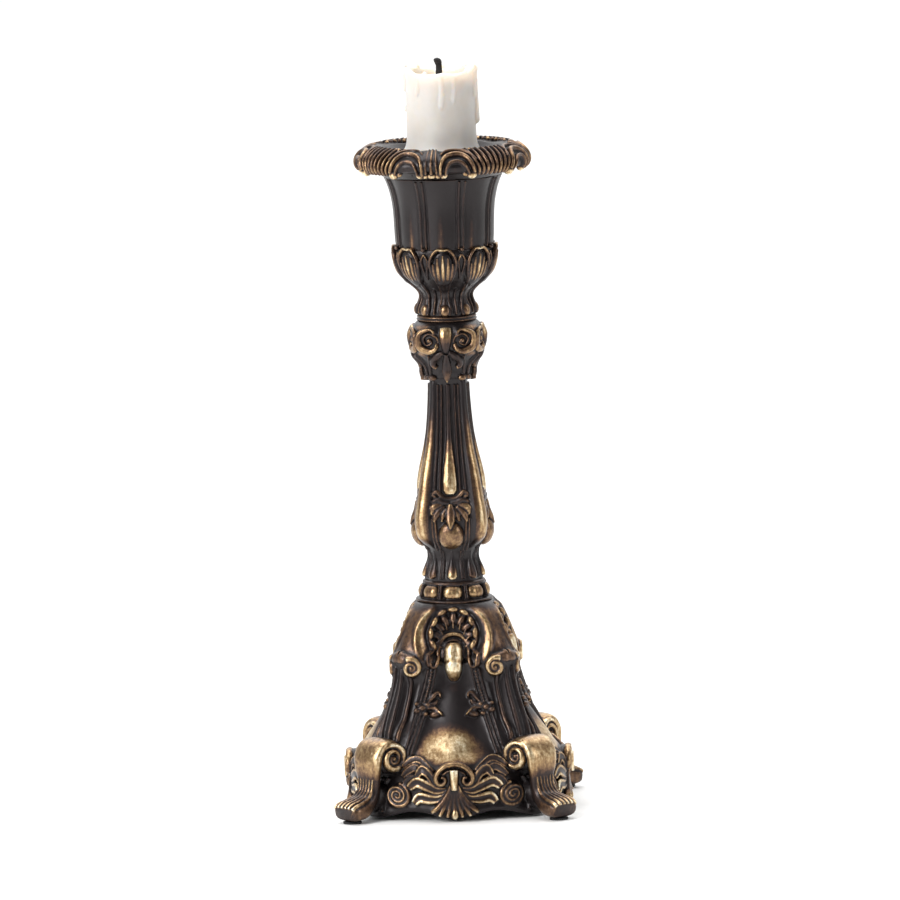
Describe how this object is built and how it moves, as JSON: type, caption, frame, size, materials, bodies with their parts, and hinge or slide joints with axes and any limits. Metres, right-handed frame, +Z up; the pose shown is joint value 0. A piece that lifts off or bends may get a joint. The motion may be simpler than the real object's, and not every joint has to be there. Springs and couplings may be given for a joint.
{
  "type": "candlestick",
  "caption": "Tall baroque candlestick on a square base with scroll feet; its cup holds a lift-out drip pan with a socket for one pillar candle.",
  "frame": {"origin": "on the table under the stem's axis, at the middle of the four foot pads", "axes": "+Z up along the stem; the four sides of the base face +X, -X, +Y and -Y, and the scroll feet stand on the diagonals"},
  "size_m": [0.132, 0.132, 0.409],
  "materials": {
    "antique_bronze": "cast, black-brown patina with the high parts rubbed back to pale gold",
    "spun_brass": "spun, dulled",
    "plain_steel": "zinc-plated fasteners",
    "rubber": "matt self-adhesive pads",
    "candle_wax": "white wax with drips",
    "charred_cotton": "burnt braided wick"
  },
  "bodies": {
    "holder": {"base_casting": "antique_bronze", "bead_collar": "antique_bronze", "baluster": "antique_bronze", "scroll_knop": "antique_bronze", "knop_ring": "antique_bronze", "petal_calyx": "antique_bronze", "cup_shell": "antique_bronze", "tie_rod": "plain_steel", "base_washer": "plain_steel", "base_nut": "plain_steel", "cup_washer": "plain_steel", "cup_nut": "plain_steel", "foot_pad_1": "rubber", "foot_pad_2": "rubber", "foot_pad_3": "rubber", "foot_pad_4": "rubber"},
    "nozzle": {"drip_pan": "antique_bronze", "candle_socket": "spun_brass"},
    "candle": {"candle": "candle_wax", "wick": "charred_cotton"}
  },
  "joints": [
    {"name": "nozzle_lift", "type": "slide", "parent": "holder", "child": "nozzle", "axis": [0, 0, 1], "range_m": [0, 0.03]},
    {"name": "candle_lift", "type": "slide", "parent": "nozzle", "child": "candle", "axis": [0, 0, 1], "range_m": [0, 0.045]}
  ]
}
